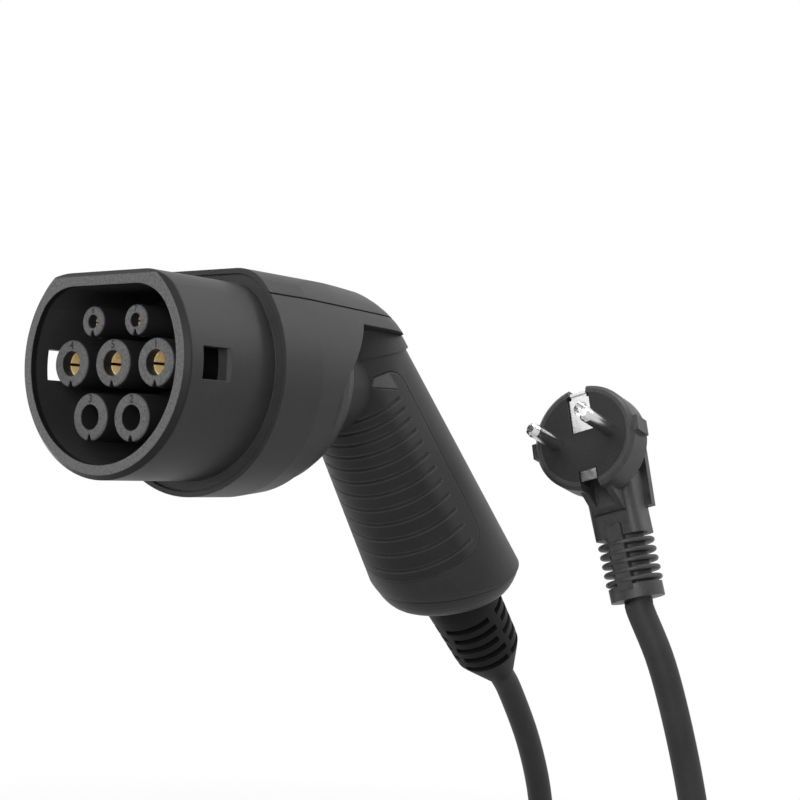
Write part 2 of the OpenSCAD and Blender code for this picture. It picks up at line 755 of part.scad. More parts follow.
// Sleeve for a socket's own earth pin
module earth_socket() {
    color([0.85, 0.85, 0.86])
    in_plug() along_x(1.2) translate([0, earth_z]) difference() {
        cylinder(h = face_t - 1.2, d = earth_d);
        translate([0, 0, -1]) cylinder(h = 7, d = 5);
    }
}

// Sprung earth strips in the notches, the upper one with a plate round the earth sleeve
module earth_clips() {
    color([0.85, 0.85, 0.86])
    in_plug() {
        difference() {
            union() {
                translate([0.5, -clip_w / 2, clip_top]) cube([12.5, clip_w, clip_t]);
                translate([1.2, -3.8, 2.2]) cube([0.8, 7.6, clip_top - 3.4]);
                translate([1.2, -clip_w / 2, clip_top - 2]) cube([0.8, clip_w, 2 + clip_t]);
            }
            along_x(0) translate([0, earth_z]) cylinder(h = 5, d = earth_d);
        }
        translate([0.5, -clip_w / 2, -clip_low - clip_t]) cube([10.5, clip_w, clip_t]);
        translate([0.5, -clip_w / 2, -clip_low - 3.6]) cube([0.8, clip_w, 3.6]);
    }
}

module connector_cable() {
    color([0.13, 0.13, 0.135]) tube(cable_route, cable_d, [0, 1, 0.2]);
}

// The coiled length as one ring, with the two leads that run off it
module cable_coil() {
    color([0.13, 0.13, 0.135])
    translate(coil_at) union() {
        rotate_extrude() translate([coil_r - coil_w / 2, 0]) coil_section();
        translate([0, lead_y - coil_at[1], cable_d / 2]) rotate([0, 90, 0]) cylinder(h = lead, d = cable_d);
        translate([-lead, lead_y - coil_at[1], coil_h - cable_d / 2]) rotate([0, 90, 0])
            cylinder(h = lead, d = cable_d);
    }
}

module coil_section() {
    c = 0.3 * cable_d;
    t = 0.3;
    polygon([[c, t], [coil_w - c, t], [coil_w - t, c], [coil_w - t, coil_h - c], [coil_w - c, coil_h - t],
        [c, coil_h - t], [t, coil_h - c], [t, c]]);
}

// Hook-and-loop strap round the coil
module coil_tie() {
    color([0.05, 0.05, 0.05])
    translate(coil_at) rotate([0, 0, 60]) translate([coil_r, 0, 0]) difference() {
        translate([-coil_w / 2 - 1.4, -9, 0]) cube([coil_w + 2.8, 18, coil_h + 1.4]);
        translate([-coil_r, 0, 0]) rotate_extrude() translate([coil_r - coil_w / 2, 0]) coil_section();
    }
}

module box_tail() {
    color([0.13, 0.13, 0.135]) tube(tail_route, cable_d, [0, 0, 1]);
}

module plug_cable() {
    color([0.13, 0.13, 0.135]) tube(plug_route, cable_d, [0, 1, 0.1]);
}

module rounded(l, w, r) {
    square([l - 2 * r, w], center = true);
    square([l, w - 2 * r], center = true);
    for (x = [-1, 1], y = [-1, 1]) translate([x * (l / 2 - r), y * (w / 2 - r)]) circle(r);
}

module box_base() {
    color([0.1, 0.1, 0.105])
    translate(box_at) difference() {
        linear_extrude(split_h) rounded(box_l, box_w, 12);
        translate([0, 0, 3]) linear_extrude(split_h) difference() {
            rounded(box_l - 6, box_w - 6, 9);
            for (x = [-1, 1], y = [-1, 1]) translate([x * (box_l / 2 - 9), y * (box_w / 2 - 9)]) circle(5);
        }
        for (x = [-1, 1], y = [-1, 1]) translate([x * (box_l / 2 - 9), y * (box_w / 2 - 9), split_h - 12])
            cylinder(h = 13, d = 3);
        for (s = [-1, 1]) translate([s * (box_l / 2 + 1), 0, gland_z]) rotate([0, -s * 90, 0])
            cylinder(h = 8, d = 14);
    }
}

module box_lid() {
    color([0.1, 0.1, 0.105])
    translate(box_at) difference() {
        translate([0, 0, split_h]) linear_extrude(box_h - split_h) rounded(box_l, box_w, 12);
        translate([0, 0, split_h - 1]) linear_extrude(box_h - split_h - 2) difference() {
            rounded(box_l - 6, box_w - 6, 9);
            for (x = [-1, 1], y = [-1, 1]) translate([x * (box_l / 2 - 9), y * (box_w / 2 - 9)]) circle(5);
        }
        for (x = [-1, 1], y = [-1, 1]) translate([x * (box_l / 2 - 9), y * (box_w / 2 - 9), split_h - 1]) {
            cylinder(h = 60, d = 3);
            translate([0, 0, box_h - split_h - 2]) cylinder(h = 10, d = 6);
        }
        translate([0, 0, box_h - 1.2]) linear_extrude(5) rounded(70, 34, 5);
    }
}

module box_screws() {
    color([0.62, 0.62, 0.6])
    translate(box_at) for (x = [-1, 1], y = [-1, 1])
        translate([x * (box_l / 2 - 9), y * (box_w / 2 - 9), 0]) difference() {
            union() {
                translate([0, 0, split_h - 10]) cylinder(h = box_h - split_h + 8, d = 3);
                translate([0, 0, box_h - 3]) cylinder(h = 2, d = 6);
            }
            translate([-0.5, -2.2, box_h - 2]) cube([1, 4.4, 2]);
        }
}

module box_glands() {
    color([0.08, 0.08, 0.085])
    translate(box_at) for (s = [-1, 1]) translate([s * box_l / 2, 0, gland_z]) rotate([0, s * 90, 0])
        rotate_extrude() polygon([[cable_d / 2, -6], [7, -6], [7, 0], [10, 0], [10, 5], [8, 6],
            [cable_d / 2 + 1, gland_l], [cable_d / 2, gland_l]]);
}

// Plain cover plate of the indicator lights
module box_window() {
    color([0.03, 0.03, 0.035])
    translate(box_at) translate([0, 0, box_h - 1.2]) linear_extrude(1.2) rounded(70, 34, 5);
}

nose_shell();
contact_carrier();
contact_sleeves();
power_contacts();
signal_contacts();
contact_retainer();
retainer_screws();
nose_gasket();
main_body();
top_cover();
handle_shell();
neck_screws();
grip_pad();
side_inlays();
end_cap();
cable_clamp();
clamp_screws();
cable_boot();
plug_body();
plug_face();
plug_pins();
earth_socket();
earth_clips();
connector_cable();
cable_coil();
coil_tie();
box_tail();
plug_cable();
box_base();
box_lid();
box_screws();
box_glands();
box_window();
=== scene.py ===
"""Portable charging lead for an electric vehicle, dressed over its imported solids."""
import math

import bpy
import numpy as np
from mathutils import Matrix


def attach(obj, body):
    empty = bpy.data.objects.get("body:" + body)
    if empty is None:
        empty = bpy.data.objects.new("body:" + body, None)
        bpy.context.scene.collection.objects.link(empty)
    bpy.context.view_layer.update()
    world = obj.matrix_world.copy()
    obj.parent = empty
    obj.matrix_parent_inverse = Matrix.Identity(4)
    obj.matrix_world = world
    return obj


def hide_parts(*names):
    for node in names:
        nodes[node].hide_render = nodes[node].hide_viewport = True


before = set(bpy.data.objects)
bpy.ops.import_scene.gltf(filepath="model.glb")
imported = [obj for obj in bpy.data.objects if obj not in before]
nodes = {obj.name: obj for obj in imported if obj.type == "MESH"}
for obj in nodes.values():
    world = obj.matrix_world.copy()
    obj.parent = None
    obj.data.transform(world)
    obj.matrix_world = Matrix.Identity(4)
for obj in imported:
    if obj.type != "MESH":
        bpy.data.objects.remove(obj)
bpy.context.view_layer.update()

# Studio: a camera level with the connector and a pale floor under the coil that fades to white.
# Soft boxes light it from the camera's left, from beside it, from above and low from the far side,
# and a strip from its right.
MM = 0.001
OBJECT_MIDDLE = np.array((0.08, -0.01, -0.03))
scene = bpy.context.scene
scene.view_settings.view_transform = "Standard"

camera = bpy.data.objects.new("camera", bpy.data.cameras.new("camera"))
camera.location = (-0.2780, -0.2958, -0.0236)
camera.rotation_euler = (math.radians(92.304), math.radians(-1.834), math.radians(-54.644))
camera.data.lens = 67.5
camera.data.sensor_width = 36
camera.data.clip_start = 0.01
scene.collection.objects.link(camera)
scene.camera = camera


def soft_box(name, place, size, watts):
    """A rectangular lamp at place that faces the object: it is tipped by the aim's rise
    and turned by its bearing."""
    lamp = bpy.data.lights.new(name, "AREA")
    lamp.shape = "RECTANGLE"
    lamp.size, lamp.size_y = size
    lamp.energy = watts
    box = bpy.data.objects.new(name, lamp)
    box.visible_camera = False
    box.location = place
    aim = OBJECT_MIDDLE - place
    bearing = math.atan2(aim[1], aim[0])
    rise = math.atan2(aim[2], math.hypot(aim[0], aim[1]))
    box.rotation_euler = (math.pi / 2 + rise, 0, bearing - math.pi / 2)
    scene.collection.objects.link(box)


soft_box("left_box", place=(-0.70, 0.05, 0.45), size=(0.6, 0.6), watts=3.4)
soft_box("front_box", place=(-0.60, -0.45, 0.12), size=(0.3, 0.3), watts=3.4)
soft_box("top_box", place=(0.25, -0.25, 0.95), size=(0.7, 0.5), watts=5.6)
soft_box("right_strip", place=(0.72, -0.58, 0.60), size=(0.25, 0.7), watts=3.6)
soft_box("low_box", place=(0.05, 0.80, -0.05), size=(0.9, 0.6), watts=4.6)


def feed(tree, node, inputs):
    """Links each named input of a node to a socket, or sets it to a number, colour or direction."""
    for label, value in inputs.items():
        if isinstance(value, bpy.types.NodeSocket):
            tree.links.new(value, node.inputs[label])
        else:
            node.inputs[label].default_value = value


def wired(tree, kind, inputs, **settings):
    """Adds a node of a kind, gives it its settings and feeds it. Returns its outputs."""
    node = tree.nodes.new(kind)
    for label, value in settings.items():
        setattr(node, label, value)
    feed(tree, node, inputs)
    return node.outputs


def worked(tree, operation, *values):
    """The result of a Math node on sockets and numbers."""
    return wired(tree, "ShaderNodeMath", dict(enumerate(values)), operation=operation)[0]


def ranged(tree, value, start=0.0, full=1.0, low=0.0, high=1.0, course="LINEAR"):
    """The result of a Map Range node: low where the value is at start, high where it is at full."""
    inputs = {"Value": value, "From Min": start, "From Max": full, "To Min": low, "To Max": high}
    return wired(tree, "ShaderNodeMapRange", inputs, interpolation_type=course)["Result"]


def seen_rays(tree):
    """A mask: one for rays from the camera, off gloss or through glass, and zero for light."""
    rays = wired(tree, "ShaderNodeLightPath", {})
    reflected = worked(tree, "MAXIMUM", rays["Is Glossy Ray"], rays["Is Transmission Ray"])
    return worked(tree, "MAXIMUM", rays["Is Camera Ray"], reflected)


WHITE = (1, 1, 1, 1)
FILL_LIGHT = 0.15
world = bpy.data.worlds.new("white_room")
world.use_nodes = True
scene.world = world
tree = world.node_tree
tree.nodes.clear()
fill = wired(tree, "ShaderNodeBackground", {"Color": WHITE, "Strength": FILL_LIGHT})[0]
white = wired(tree, "ShaderNodeBackground", {"Color": WHITE, "Strength": 1.0})[0]
room = wired(tree, "ShaderNodeMixShader", {0: seen_rays(tree), 1: fill, 2: white})[0]
wired(tree, "ShaderNodeOutputWorld", {"Surface": room})

FLOOR_Z = -255 * MM
FLOOR_HALF = 3.0
FLOOR_GREY = (0.6, 0.6, 0.6, 1)
FADE = {"start": 0.3, "full": 0.75, "low": 0.6, "high": 1.0}
floor_mesh = bpy.data.meshes.new("floor")
corner_signs = ((-1, -1), (1, -1), (1, 1), (-1, 1))
floor_corners = [(FLOOR_HALF * x, FLOOR_HALF * y, FLOOR_Z) for x, y in corner_signs]
floor_mesh.from_pydata(floor_corners, [], [(0, 1, 2, 3)])
floor = bpy.data.objects.new("floor", floor_mesh)
scene.collection.objects.link(floor)
floor_paint = bpy.data.materials.new("pale_floor")
floor_paint.use_nodes = True
tree = floor_paint.node_tree
paint = tree.nodes["Principled BSDF"]
feed(tree, paint, {"Base Color": FLOOR_GREY, "Roughness": 0.8})
place = wired(tree, "ShaderNodeTexCoord", {})["Object"]
reach = wired(tree, "ShaderNodeVectorMath", {0: place}, operation="LENGTH")["Value"]
share = worked(tree, "MULTIPLY", ranged(tree, reach, **FADE), seen_rays(tree))
glow = wired(tree, "ShaderNodeEmission", {"Color": WHITE})[0]
surface = wired(tree, "ShaderNodeMixShader", {0: share, 1: paint.outputs[0], 2: glow})[0]
feed(tree, tree.nodes["Material Output"], {"Surface": surface})
floor_mesh.materials.append(floor_paint)


# Housing: the nose, the barrel-shaped body with its cover, the handle and its cap are
# injection moulded in a black glass-filled plastic with a fine spark-eroded grain.
# The nose is clamped in the body, and screws hold the handle to the body's rear wall.
def shader_group(name, takes, gives):
    """An empty node group with named sockets of kind Color, Float or Vector. Returns it with
    the sockets that bring its inputs in and the node that takes its outputs."""
    group = bpy.data.node_groups.new(name, "ShaderNodeTree")
    for side, sockets in (("INPUT", takes), ("OUTPUT", gives)):
        for label, kind in sockets.items():
            group.interface.new_socket(label, in_out=side, socket_type="NodeSocket" + kind)
    return group, group.nodes.new("NodeGroupInput").outputs, group.nodes.new("NodeGroupOutput")


def mixed(tree, share, first, second, blend="MIX"):
    """The result of a colour mix of sockets, colours and numbers."""
    inputs = {"Fac": share, "Color1": first, "Color2": second}
    return wired(tree, "ShaderNodeMixRGB", inputs, blend_type=blend)["Color"]


def grain_group():
    """Mould grain: the height is a fine noise, and the patches are a slower one, scaled by their
    strength. The colour is multiplied by 0.72 plus half the fine noise plus the patches, and a
    quarter of the patches is added to the roughness."""
    group, given, end = shader_group(
        "mould_grain",
        {"Colour": "Color", "Roughness": "Float", "Grains per metre": "Float",
         "Patches per metre": "Float", "Patch strength": "Float"},
        {"Colour": "Color", "Roughness": "Float", "Height": "Float"},
    )
    place = wired(group, "ShaderNodeTexCoord", {})["Object"]
    fine_noise = {"Vector": place, "Scale": given["Grains per metre"], "Detail": 3}
    slow_noise = {
        "Vector": place, "Scale": given["Patches per metre"], "Detail": 4, "Roughness": 0.6,
    }
    fine = wired(group, "ShaderNodeTexNoise", fine_noise)["Fac"]
    slow = wired(group, "ShaderNodeTexNoise", slow_noise)["Fac"]
    spread = ranged(group, slow, start=0.3, full=0.7)
    patches = worked(group, "MULTIPLY", spread, given["Patch strength"])
    specks = worked(group, "MULTIPLY_ADD", fine, 0.5, patches)
    level = worked(group, "ADD", specks, 0.72)
    feed(group, end, {
        "Colour": mixed(group, 1.0, given["Colour"], level, "MULTIPLY"),
        "Roughness": worked(group, "MULTIPLY_ADD", patches, 0.25, given["Roughness"]),
        "Height": fine,
    })
    return group


def edge_group():
    """Edge scuffing and painted light: the normal is softened over the edge radius, and where it
    leans away from the surface's own, so that their dot product falls from 0.97 to 0.75, the colour
    turns
    into the painted edge colour: lighter for scuffing with a painted highlight, darker for painted
    shade."""
    group, given, end = shader_group(
        "edge_scuff_and_painted_light",
        {"Colour": "Color", "Painted edge colour": "Color", "Edge radius": "Float"},
        {"Colour": "Color", "Normal": "Vector"},
    )
    soft = wired(group, "ShaderNodeBevel", {"Radius": given["Edge radius"]}, samples=4)["Normal"]
    own = wired(group, "ShaderNodeNewGeometry", {})["Normal"]
    lean = wired(group, "ShaderNodeVectorMath", {0: soft, 1: own}, operation="DOT_PRODUCT")["Value"]
    edge_share = ranged(group, lean, start=0.97, full=0.75)
    painted_edge_tone = mixed(group, edge_share, given["Colour"], given["Painted edge colour"])
    feed(group, end, {"Colour": painted_edge_tone, "Normal": soft})
    return group


MOULD_GRAIN = grain_group()
EDGE_SCUFF_AND_PAINTED_LIGHT = edge_group()


def grained(name, colour, roughness, grains, depth, patches=45, patch_strength=0.35,
            edge=0.4 * MM, gloss=0.18, edge_paint=2.2):
    """A mould-grained material: grains and patches count per metre, depth is the grain's, edge is
    the radius that softens corners, gloss the strength of reflections, and edge_paint how many
    times lighter the edges are painted, as scuffing with a painted highlight; below one it paints
    shade."""
    material = bpy.data.materials.new(name)
    material.use_nodes = True
    tree = material.node_tree
    grain = wired(tree, "ShaderNodeGroup", {
        "Colour": (*colour, 1), "Roughness": roughness, "Grains per metre": grains,
        "Patches per metre": patches, "Patch strength": patch_strength,
    }, node_tree=MOULD_GRAIN, name="grain")
    # A factor above one paints the edges lighter, as scuffing with a painted highlight; below one
    # it paints shade along them.
    edge_paint_colour = (*(edge_paint * c for c in colour), 1)
    edges = wired(tree, "ShaderNodeGroup", {
        "Colour": grain["Colour"], "Painted edge colour": edge_paint_colour, "Edge radius": edge,
    }, node_tree=EDGE_SCUFF_AND_PAINTED_LIGHT, name="edges")
    bump = wired(tree, "ShaderNodeBump", {
        "Strength": 0.6, "Distance": depth, "Height": grain["Height"], "Normal": edges["Normal"],
    })
    feed(tree, tree.nodes["Principled BSDF"], {
        "Specular IOR Level": gloss, "Base Color": edges["Colour"],
        "Roughness": grain["Roughness"], "Normal": bump["Normal"],
    })
    return material


def dress(material, *names):
    """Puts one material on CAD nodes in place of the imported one."""
    for name in names:
        mesh = nodes[name].data
        mesh.materials.clear()
        mesh.materials.append(material)


BLACK_PLASTIC = (0.027, 0.027, 0.028)
HOUSING_GRAIN = {"roughness": 0.42, "grains": 2600, "depth": 0.12 * MM}
dress(grained("moulded_housing", BLACK_PLASTIC, **HOUSING_GRAIN), "main_body", "top_cover")


def place_along(tree, direction):
    """The socket that gives a point's place along a direction in the part's frame, in metres."""
    place = wired(tree, "ShaderNodeTexCoord", {})["Object"]
    inputs = {0: place, 1: direction}
    return wired(tree, "ShaderNodeVectorMath", inputs, operation="DOT_PRODUCT")["Value"]


SEAM_DIRECTION = (-0.3173, 0, 0.9483)
SEAM_PLACE = -114.9 * MM
SEAM_HALF_WIDTH = 0.22 * MM
SEAM_BLACK = (0.004, 0.004, 0.004, 1)
handle = grained("moulded_handle", BLACK_PLASTIC, **HOUSING_GRAIN)
tree = handle.node_tree
seam = worked(tree, "COMPARE", place_along(tree, SEAM_DIRECTION), SEAM_PLACE, SEAM_HALF_WIDTH)
seamed = mixed(tree, seam, tree.nodes["edges"].outputs["Colour"], SEAM_BLACK)
feed(tree, tree.nodes["Principled BSDF"], {"Base Color": seamed})
dress(handle, "handle_shell", "end_cap")

# Near black, painted on the nose's front bevel as shade.
BEVEL_PAINTED_SHADE = (0.008, 0.008, 0.008, 1)


def front_group():
    """Pale front and painted shade: where a point's X is below the front limit, on the faces that
    the mould's polished core makes, the colour is the pale one times a fine speckle from 0.7 to
    1.3. From there to the bevel limit, on the smooth bevel next to them, it is nearly black as
    painted shade."""
    group, given, end = shader_group(
        "pale_front_and_painted_shade",
        {"Colour": "Color", "Pale colour": "Color", "Front limit": "Float", "Bevel limit": "Float"},
        {"Colour": "Color"},
    )
    place = wired(group, "ShaderNodeTexCoord", {})["Object"]
    along = wired(group, "ShaderNodeSeparateXYZ", {"Vector": place})["X"]
    front = worked(group, "LESS_THAN", along, given["Front limit"])
    bevel = worked(group, "LESS_THAN", along, given["Bevel limit"])
    noise = wired(group, "ShaderNodeTexNoise", {"Vector": place, "Scale": 1500, "Detail": 2})["Fac"]
    speckle = ranged(group, noise, start=0.3, full=0.7, low=0.7, high=1.3)
    behind = mixed(group, bevel, given["Colour"], BEVEL_PAINTED_SHADE)
    pale = mixed(group, 1.0, given["Pale colour"], speckle, "MULTIPLY")
    feed(group, end, {"Colour": mixed(group, front, behind, pale)})
    return group


PALE_FRONT_AND_SHADE = front_group()
RIM_GREY = (0.088, 0.088, 0.088, 1)


def fronted(material, front_limit, bevel_limit=0.0):
    """Gives a grained material the pale front and the painted shade on its bevel, up to the two
    limits in metres.
    """
    tree = material.node_tree
    front = wired(tree, "ShaderNodeGroup", {
        "Colour": tree.nodes["edges"].outputs["Colour"], "Pale colour": RIM_GREY,
        "Front limit": front_limit, "Bevel limit": bevel_limit,
    }, node_tree=PALE_FRONT_AND_SHADE)
    feed(tree, tree.nodes["Principled BSDF"], {"Base Color": front["Colour"]})
    return material


nose = grained("moulded_nose", BLACK_PLASTIC, **HOUSING_GRAIN)
# The nose's bevel, from its front face to 1.9 mm back, is painted near black as shade.
dress(fronted(nose, front_limit=0.1 * MM, bevel_limit=1.9 * MM), "nose_shell")


# Contact carrier: a dark moulding slid into the nose from behind, with a sleeve pressed in for
# each contact. The face of each sleeve is paler and has its contact's number printed above the
# opening.
SLEEVE_FRONT = 4.2 * MM
CARRIER_BLACK = (0.011, 0.011, 0.012)
CARRIER_GRAIN = {"roughness": 0.5, "grains": 2200, "depth": 0.08 * MM}
dress(grained("contact_carrier", CARRIER_BLACK, **CARRIER_GRAIN), "contact_carrier")
sleeve = grained("contact_sleeve", CARRIER_BLACK, **CARRIER_GRAIN)
dress(fronted(sleeve, front_limit=SLEEVE_FRONT + 0.3 * MM), "contact_sleeves")
plate = grained("carrier_plate", (0.03, 0.03, 0.031), **CARRIER_GRAIN)
dress(plate, "contact_retainer", "cable_clamp")

PITCH = 16 * MM
POWER_RING = (6.6 * MM, 3.5 * MM)
SIGNAL_RING = (4.3 * MM, 1.9 * MM)
NUMBER_PLACES = {
    "1": (-PITCH, 0, POWER_RING),
    "5": (0, 0, POWER_RING),
    "4": (PITCH, 0, POWER_RING),
    "2": (-0.49 * PITCH, -0.913 * PITCH, POWER_RING),
    "3": (0.49 * PITCH, -0.913 * PITCH, POWER_RING),
    "7": (-0.506 * PITCH, 0.712 * PITCH, SIGNAL_RING),
    "6": (0.506 * PITCH, 0.712 * PITCH, SIGNAL_RING),
}
NUMBER_SHARE = 0.68
CAPITAL_SHARE = 0.7
STROKE_SPREAD = 0.035
PRINT_LIFT = 0.03 * MM


def numeral(text, height):
    """A digit as flat points and faces about its own middle, with capitals of the given height."""
    curve = bpy.data.curves.new("numeral", "FONT")
    curve.body = text
    curve.size = height / CAPITAL_SHARE
    curve.offset = STROKE_SPREAD * height
    holder = bpy.data.objects.new("numeral", curve)
    scene.collection.objects.link(holder)
    evaluated = holder.evaluated_get(bpy.context.evaluated_depsgraph_get())
    drawn = bpy.data.meshes.new_from_object(evaluated)
    flat = np.zeros(len(drawn.vertices) * 3)
    drawn.vertices.foreach_get("co", flat)
    faces = [tuple(p.vertices) for p in drawn.polygons]
    bpy.data.objects.remove(holder)
    bpy.data.curves.remove(curve)
    bpy.data.meshes.remove(drawn)
    flat = flat.reshape(-1, 3)[:, :2]
    return flat - (flat.min(0) + flat.max(0)) / 2, faces


number_points, number_faces = [], []
for text, (across, up, (outer, inner)) in NUMBER_PLACES.items():
    flat, faces = numeral(text, NUMBER_SHARE * (outer - inner))
    first = sum(len(p) for p in number_points)
    middle = up + (outer + inner) / 2
    depth = np.full(len(flat), SLEEVE_FRONT - PRINT_LIFT)
    number_points.append(np.column_stack([depth, across - flat[:, 0], middle + flat[:, 1]]))
    number_faces += [tuple(first + i for i in face) for face in faces]
number_mesh = bpy.data.meshes.new("contact_numbers")
number_mesh.from_pydata(np.concatenate(number_points).tolist(), [], number_faces)
contact_numbers = bpy.data.objects.new("contact_numbers", number_mesh)
scene.collection.objects.link(contact_numbers)
number_ink = grained("printed_numbers", (0.012, 0.012, 0.012), roughness=0.5, grains=2200,
                     depth=0.02 * MM, edge=0.02 * MM)
number_mesh.materials.append(number_ink)
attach(contact_numbers, "root")


# Contacts and fasteners: turned brass sockets with a bright plating, plain steel screws
# and a soft ring that seals the nose in the body.
def scratch_group():
    """Scratches: the height is a noise that is six times finer along X, and it varies the roughness
    from 0.6 to 1.4 times."""
    group, given, end = shader_group(
        "metal_scratches",
        {"Roughness": "Float", "Scratches per metre": "Float"},
        {"Roughness": "Float", "Height": "Float"},
    )
    place = wired(group, "ShaderNodeTexCoord", {})["Object"]
    finer = wired(group, "ShaderNodeMapping", {"Vector": place, "Scale": (6, 1, 1)})["Vector"]
    noise_inputs = {"Vector": finer, "Scale": given["Scratches per metre"], "Detail": 3}
    noise = wired(group, "ShaderNodeTexNoise", noise_inputs)["Fac"]
    times = ranged(group, noise, low=0.6, high=1.4)
    varied = worked(group, "MULTIPLY", times, given["Roughness"])
    feed(group, end, {"Roughness": varied, "Height": noise})
    return group


METAL_SCRATCHES = scratch_group()


def metal(name, colour, roughness, scratches, mirror=1.0):
    """Turned or stamped metal, finely scratched. A mirror share below one leaves the rest matt."""
    material = bpy.data.materials.new(name)
    material.use_nodes = True
    tree = material.node_tree
    marks = wired(tree, "ShaderNodeGroup", {
        "Roughness": roughness, "Scratches per metre": scratches,
    }, node_tree=METAL_SCRATCHES)
    bump = wired(tree, "ShaderNodeBump", {
        "Strength": 0.2, "Distance": 0.03 * MM, "Height": marks["Height"],
    })
    feed(tree, tree.nodes["Principled BSDF"], {
        "Base Color": (*colour, 1), "Metallic": mirror,
        "Roughness": marks["Roughness"], "Normal": bump["Normal"],
    })
    return material


plated_brass = metal("plated_brass", (1.0, 0.80, 0.42), roughness=0.3, scratches=900, mirror=0.4)
dress(plated_brass, "power_contacts", "signal_contacts")
screw_steel = metal("screw_steel", (0.60, 0.60, 0.58), roughness=0.35, scratches=700)
dress(screw_steel, "retainer_screws", "neck_screws", "clamp_screws", "box_screws")
seal_rubber = grained("seal_rubber", (0.012, 0.012, 0.012), roughness=0.7, grains=1500,
                      depth=0.05 * MM)
dress(seal_rubber, "nose_gasket")


# Grip pad and inlays: a softer black rubber is moulded over the front of the handle, with pointed
# grooves across it and plain side panels, painted paler where light falls on them. A smooth
# four-sided plate is set into each side of its top, its rim painted darker as shade.
HANDLE_BACK = (0.7604, 0, 0.6494)
HANDLE_AXIS_PLACE = 86.94 * MM
SIDES_START = HANDLE_AXIS_PLACE - 12 * MM
SIDES_FULL = HANDLE_AXIS_PLACE - 7 * MM
LIT_SIDES_GREY = (0.046, 0.046, 0.047, 1)
# The grip's groove edges are painted six times lighter, as painted highlights.
grip = grained("grip_rubber", (0.018, 0.018, 0.019), roughness=0.55, grains=2000, depth=0.14 * MM,
               edge=0.8 * MM, edge_paint=6.0)
tree = grip.node_tree
# The plain side panels beyond the groove ends are painted paler, as painted light where the lamps
# fall on them.
lit_side_share = ranged(tree, place_along(tree, HANDLE_BACK), SIDES_START, SIDES_FULL, course="SMOOTHSTEP")
lit_side_colour = mixed(tree, lit_side_share, tree.nodes["grain"].outputs["Colour"], LIT_SIDES_GREY)
feed(tree, tree.nodes["edges"], {"Colour": lit_side_colour})
dress(grip, "grip_pad")
# The plate's rim is painted much darker, as painted shade in the gap around it.
inlay = grained("inlay_plastic", (0.085, 0.085, 0.087), roughness=0.4, grains=1800, depth=0.06 * MM,
                edge=1.0 * MM, edge_paint=0.15)
dress(inlay, "side_inlays")


# Cable boot: a soft sleeve that leaves the handle through its end cap and is slotted so that
# it bends evenly. It is moulded in rubber straight onto the cable, as the box's glands are.
boot_rubber = grained("boot_rubber", (0.009, 0.009, 0.0095), roughness=0.5, grains=1600,
                      depth=0.1 * MM, gloss=0.1)
dress(boot_rubber, "cable_boot", "box_glands")


# Mains plug: a glossy black overmoulding with a hard face insert, nickel-plated pins,
# an earth sleeve and two sprung earth strips.
overmould = grained("plug_overmould", (0.025, 0.025, 0.026), roughness=0.36, grains=1500,
                    depth=0.16 * MM, patches=260, patch_strength=0.7, gloss=0.3)
dress(overmould, "plug_body")
insert = grained("plug_insert", (0.016, 0.016, 0.017), roughness=0.45, grains=1300, depth=0.12 * MM)
dress(insert, "plug_face")
nickel = metal("bright_nickel", (0.62, 0.62, 0.62), roughness=0.18, scratches=600)
dress(nickel, "plug_pins", "earth_socket", "earth_clips")


# Cables: round rubber-jacketed cable. One runs from the handle's clamp through the boot, hangs to
# the floor, is wound into a tied coil and ends in the control box. The other hangs from the plug
# into the box.
CABLE_D = 9.4 * MM
ROUTE_STEPS = 5
ACROSS = np.array((0.0, 1.0, 0.0))


def smooth_route(points):
    """A cubic curve through the points. Between two of them it leaves each in the direction of
    the line between that point's neighbours, and each such span is cut into steps."""
    p = np.asarray(points, float)
    ends = np.vstack([p[:1], p, p[-1:]])
    a, b, c, d = (ends[k : len(p) - 1 + k, None, :] for k in range(4))
    t = (np.arange(ROUTE_STEPS) / ROUTE_STEPS)[None, :, None]
    square, cube = 2 * a - 5 * b + 4 * c - d, 3 * b - a - 3 * c + d
    curve = 0.5 * (2 * b + (c - a) * t + square * t**2 + cube * t**3)
    return np.vstack([curve.reshape(-1, 3), p[-1:]])


def swept_tube(name, path, side, diameter, around=24):
    """A round tube: at each point of the path a ring in the plane across it, started from the side
    direction, joined to the next ring by four-sided faces and closed by a cap at both ends."""
    ahead = np.gradient(path, axis=0)
    ahead /= np.linalg.norm(ahead, axis=1, keepdims=True)
    u = side - (side * ahead).sum(1, keepdims=True) * ahead
    u /= np.linalg.norm(u, axis=1, keepdims=True)
    v = np.cross(ahead, u)
    angle = np.linspace(0, 2 * np.pi, around, endpoint=False)[None, :, None]
    rings = path[:, None] + diameter / 2 * (u[:, None] * np.cos(angle) + v[:, None] * np.sin(angle))
    count = len(path)
    i, k = np.meshgrid(np.arange(count - 1), np.arange(around), indexing="ij")
    j = (k + 1) % around
    near, far = i * around, (i + 1) * around
    walls = np.stack([near + k, near + j, far + j, far + k], -1).reshape(-1, 4)
    caps = [list(range(around))[::-1], list(range((count - 1) * around, count * around))]
    mesh = bpy.data.meshes.new(name)
    mesh.from_pydata(rings.reshape(-1, 3).tolist(), [], walls.tolist() + caps)
    mesh.polygons.foreach_set("use_smooth", [True] * len(walls) + [False, False])
    tube = bpy.data.objects.new(name, mesh)
    scene.collection.objects.link(tube)
    return tube


